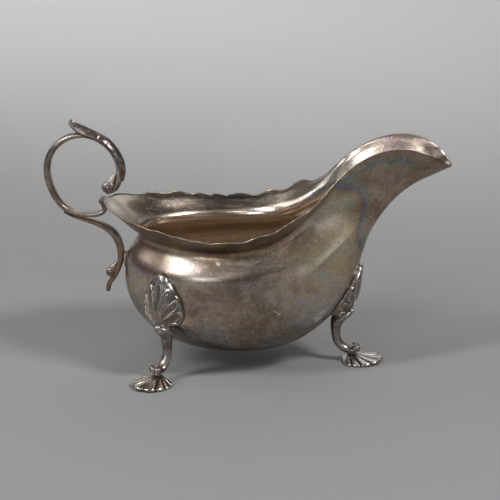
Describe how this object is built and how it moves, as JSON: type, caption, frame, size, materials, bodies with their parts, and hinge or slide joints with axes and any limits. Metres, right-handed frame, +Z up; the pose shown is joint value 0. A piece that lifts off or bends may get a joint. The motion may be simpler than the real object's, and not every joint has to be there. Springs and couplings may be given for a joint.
{
  "type": "sauce boat",
  "caption": "Oval silver sauce boat with a long pouring spout, wavy lip, leaf-capped scroll handle and shell-headed legs on fan feet.",
  "frame": {"origin": "centre of the boat's bounding box, at the height of the table it stands on", "axes": "+X towards the spout, +Y towards the boat's left side seen from the handle, +Z up"},
  "size_m": [0.1681, 0.0854, 0.1026],
  "materials": {
    "body_silver": "hammer-raised silver, semi-gloss, with warm tarnish",
    "handle_silver": "cast silver, semi-gloss, darker in the recesses",
    "leg_silver": "cast silver, semi-gloss, dark tarnish in the flutes"
  },
  "bodies": {
    "root": {"bowl": "body_silver", "handle_upper_scroll": "handle_silver", "thumb_leaf": "handle_silver", "upper_volute": "handle_silver", "rim_curl": "handle_silver", "handle_lower_scroll": "handle_silver", "lower_volute": "handle_silver", "handle_lug": "handle_silver", "front_knee_shell": "leg_silver", "front_leg": "leg_silver", "front_foot": "leg_silver", "rear_left_knee_shell": "leg_silver", "rear_left_leg": "leg_silver", "rear_left_foot": "leg_silver", "rear_right_knee_shell": "leg_silver", "rear_right_leg": "leg_silver", "rear_right_foot": "leg_silver"}
  },
  "joints": []
}
